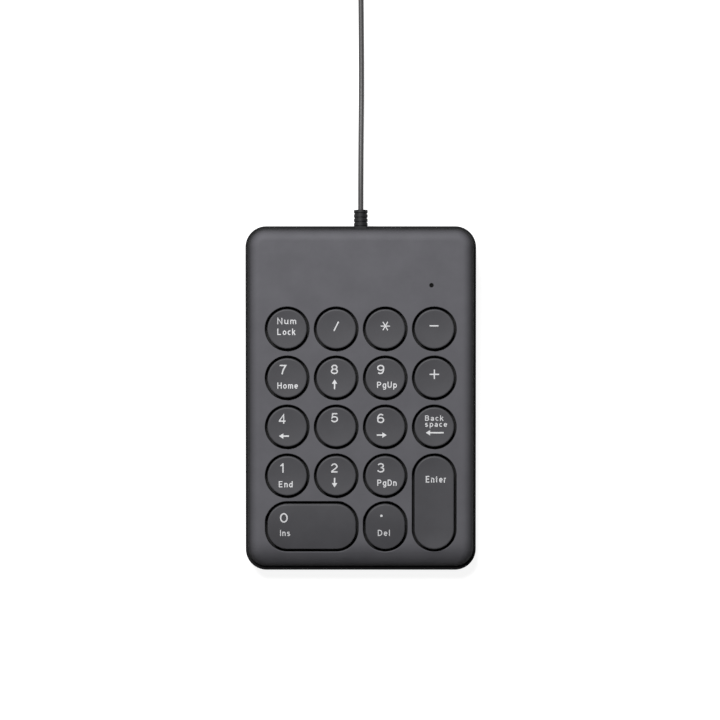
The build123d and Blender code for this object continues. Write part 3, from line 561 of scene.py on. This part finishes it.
# Section of a dome: distance from its axis and height over the sheet.
DOME_SECTION = [
    (3.9, -0.05), (4.3, -0.05), (4.24, 0.14), (4.02, 0.32), (3.78, 0.52), (3.4, 0.98), (3.02, 1.42),
    (2.66, 1.84), (2.46, 2.1), (2.36, 2.42), (2.3, 2.66), (2.18, 2.75), (0.9, 2.75), (0.8, 2.68), (0, 2.68),
    (0, 1.28), (0.9, 1.26), (1.08, 1.36), (1.1, 1.78), (1.9, 1.8), (2.2, 1.66), (2.9, 0.86), (3.42, 0.3),
    (3.72, 0.14),
]
DOME_SIDES = 48


def on_deck(x, y, z):
    """A place given in millimetres from the deck's middle."""
    return DECK_MIDDLE + (DECK_RIGHT * x + DECK_REAR * y + DECK_UP * z) * MM


def outline_spline(curve, outline):
    spline = curve.splines.new("POLY")
    spline.points.add(len(outline) - 1)
    for point, (x, y) in zip(spline.points, outline):
        point.co = (x, y, 0, 1)
    spline.use_cyclic_u = True


def mat_sheet(materials):
    curve = bpy.data.curves.new("mat", "CURVE")
    curve.dimensions = "2D"
    curve.fill_mode = "BOTH"
    curve.extrude = MAT_THICK / 2
    near_x, near_y, far_y = MAT_HALF_WIDTH - MAT_CORNER, MAT_FRONT + MAT_CORNER, MAT_REAR - MAT_CORNER
    corners = [(near_x, far_y, 0), (-near_x, far_y, 90), (-near_x, near_y, 180), (near_x, near_y, 270)]
    outline_spline(curve, [spot for x, y, turn in corners
                           for spot in arc(x, y, MAT_CORNER, MAT_CORNER, turn, turn + 90)])
    for x, y in SCREW_HOLES:
        outline_spline(curve, arc(x, y, SCREW_HOLE_RADIUS, SCREW_HOLE_RADIUS, 0, 360 - ARC_STEP))
    for key in KEYS:
        x, y = dome_spot(key)
        outline_spline(curve, arc(x, y, DOME_OPENING, DOME_OPENING, 0, 360 - ARC_STEP))
    holder = bpy.data.objects.new("mat", curve)
    bpy.context.scene.collection.objects.link(holder)
    mesh = bpy.data.meshes.new_from_object(holder.evaluated_get(bpy.context.evaluated_depsgraph_get()))
    bpy.data.objects.remove(holder)
    for vertex in mesh.vertices:
        vertex.co = on_deck(vertex.co.x, vertex.co.y, MAT_TOP - MAT_THICK / 2 + vertex.co.z)
    mesh.materials.clear()
    mesh.materials.append(materials["dome_silicone"])
    sheet = bpy.data.objects.new("mat_sheet", mesh)
    bpy.context.scene.collection.objects.link(sheet)
    return sheet


def dome_spot(key):
    """Where a key's dome stands, in millimetres from the deck's middle."""
    places = [vertex.co - DECK_MIDDLE for vertex in NODES[key].data.vertices]
    reaches = [[place.dot(axis) / MM for place in places] for axis in (DECK_RIGHT, DECK_REAR)]
    x, y = [(min(reach) + max(reach)) / 2 for reach in reaches]
    return round(x, 2), round(y, 2)


def make_dome(key, materials):
    x, y = dome_spot(key)
    vertices, faces = [], []
    count = len(DOME_SECTION)
    for side in range(DOME_SIDES):
        angle = math.tau * side / DOME_SIDES
        for radius, height in DOME_SECTION:
            across, along = radius * math.cos(angle), radius * math.sin(angle)
            vertices.append(on_deck(x + across, y + along, MAT_TOP + height))
        after = (side + 1) % DOME_SIDES
        for i in range(count):
            j = (i + 1) % count
            faces.append((side * count + i, after * count + i, after * count + j, side * count + j))
    mesh = bpy.data.meshes.new("dome_" + key.removeprefix("key_"))
    mesh.from_pydata(vertices, [], faces)
    shell = bmesh.new()
    shell.from_mesh(mesh)
    bmesh.ops.remove_doubles(shell, verts=shell.verts[:], dist=0.001 * MM)
    bmesh.ops.recalc_face_normals(shell, faces=shell.faces[:])
    for face in shell.faces:
        face.smooth = True
    shell.to_mesh(mesh)
    shell.free()
    mesh.materials.append(materials["dome_silicone"])
    dome = bpy.data.objects.new("dome_" + key.removeprefix("key_"), mesh)
    bpy.context.scene.collection.objects.link(dome)
    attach(dome, "housing")
    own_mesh(dome)


def make_mat(materials):
    sheet = mat_sheet(materials)
    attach(sheet, "housing")
    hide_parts("dome_mat")
    for key in KEYS:
        make_dome(key, materials)


# ---------------------------------------------------------------------------
# Stage
# ---------------------------------------------------------------------------

FLOOR_REACH = 6.0
FLOOR_GREY = 0.25
FLOOR_GLOW = 0.9                      # keeps the floor pale where the keypad shades it
WORLD_STRENGTH = 0.05
LIGHT_PLACE = (-0.2, 0.5, 0.78)       # from the left rear, aimed at the keypad's middle
LIGHT_SIDE = 0.45
LIGHT_POWER = 17.2


def make_stage():
    mesh = bpy.data.meshes.new("floor")
    corners = [(-FLOOR_REACH, -FLOOR_REACH, 0), (FLOOR_REACH, -FLOOR_REACH, 0),
               (FLOOR_REACH, FLOOR_REACH, 0), (-FLOOR_REACH, FLOOR_REACH, 0)]
    mesh.from_pydata(corners, [], [(0, 1, 2, 3)])
    floor = bpy.data.objects.new("floor", mesh)
    bpy.context.scene.collection.objects.link(floor)
    material, nodes, links, shader = new_material("floor")
    shader.inputs["Base Color"].default_value = (FLOOR_GREY, FLOOR_GREY, FLOOR_GREY, 1)
    shader.inputs["Roughness"].default_value = 0.9
    shader.inputs["Specular IOR Level"].default_value = 0.1
    shader.inputs["Emission Color"].default_value = (1.0, 1.0, 1.0, 1)
    shader.inputs["Emission Strength"].default_value = FLOOR_GLOW
    mesh.materials.append(material)


def make_lights():
    world = bpy.data.worlds.new("world")
    bpy.context.scene.world = world
    world.use_nodes = True
    background = world.node_tree.nodes["Background"]
    background.inputs["Color"].default_value = (1.0, 1.0, 1.0, 1)
    background.inputs["Strength"].default_value = WORLD_STRENGTH
    data = bpy.data.lights.new("above", "AREA")
    data.size = LIGHT_SIDE
    data.energy = LIGHT_POWER
    light = bpy.data.objects.new("above", data)
    bpy.context.scene.collection.objects.link(light)
    light.location = LIGHT_PLACE
    light.rotation_euler = (-Vector(LIGHT_PLACE)).to_track_quat("-Z", "Y").to_euler()


def main():
    make_camera()
    materials = make_materials()
    paint_nodes(materials)
    make_cord(materials)
    make_legends(materials)
    make_mat(materials)
    make_stage()
    make_lights()
    bpy.context.scene.view_settings.view_transform = "Standard"


main()
